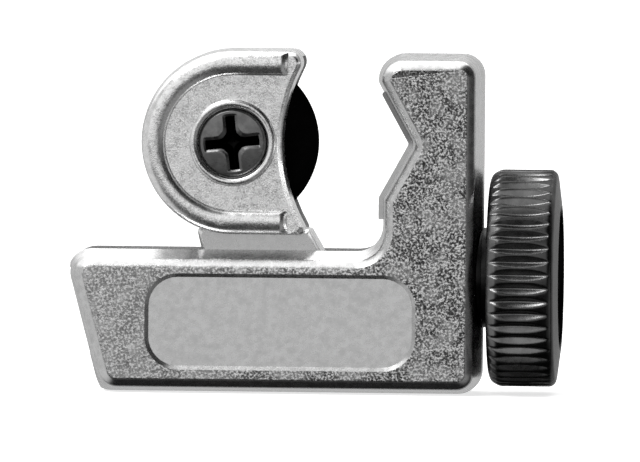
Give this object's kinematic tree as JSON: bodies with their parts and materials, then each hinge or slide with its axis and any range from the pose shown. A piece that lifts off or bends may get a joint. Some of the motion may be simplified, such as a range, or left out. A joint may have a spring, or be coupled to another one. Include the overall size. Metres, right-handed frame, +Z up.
{
  "type": "mini tube cutter",
  "caption": "Small hand tube cutter: a cast frame with a V seat, a sliding carriage with a cutting wheel, and a knurled feed knob.",
  "frame": {"origin": "on the underside of the base, below the middle of the whole tool", "axes": "+X along the feed screw toward the knob, +Y to the back, +Z up through the arm"},
  "size_m": [0.052, 0.023, 0.0364],
  "materials": {
    "cast_zinc": "tumbled satin die casting",
    "carriage_zinc": "tumbled satin die casting",
    "wheel_steel": "black oxide",
    "black_screw": "black oxide",
    "bright_steel": "turned",
    "dark_steel": "phosphated",
    "black_knob": "black satin coating"
  },
  "bodies": {
    "body": {"frame": "cast_zinc", "thrust_washer": "dark_steel"},
    "slide": {"carriage": "carriage_zinc", "wheel_screw": "black_screw"},
    "wheel": {"cutter_wheel": "wheel_steel"},
    "spindle": {"feed_screw": "bright_steel", "stop_pin": "bright_steel", "knob": "black_knob"}
  },
  "joints": [
    {"name": "knob_turn", "type": "hinge", "parent": "body", "child": "spindle", "pos_m": [0.02, 0, 0.0123], "axis": [1, 0, 0], "range_deg": [-3375, 3465]},
    {"name": "carriage_slide", "type": "slide", "parent": "body", "child": "slide", "axis": [1, 0, 0], "range_m": [-0.0077, 0.0075]},
    {"name": "wheel_spin", "type": "hinge", "parent": "slide", "child": "wheel", "pos_m": [-0.00876, 0, 0.0265], "axis": [0, 1, 0], "continuous": true}
  ],
  "couplings": [
    {"joint": "carriage_slide", "follows": "knob_turn", "m_per_rad": -0.00012732}
  ]
}
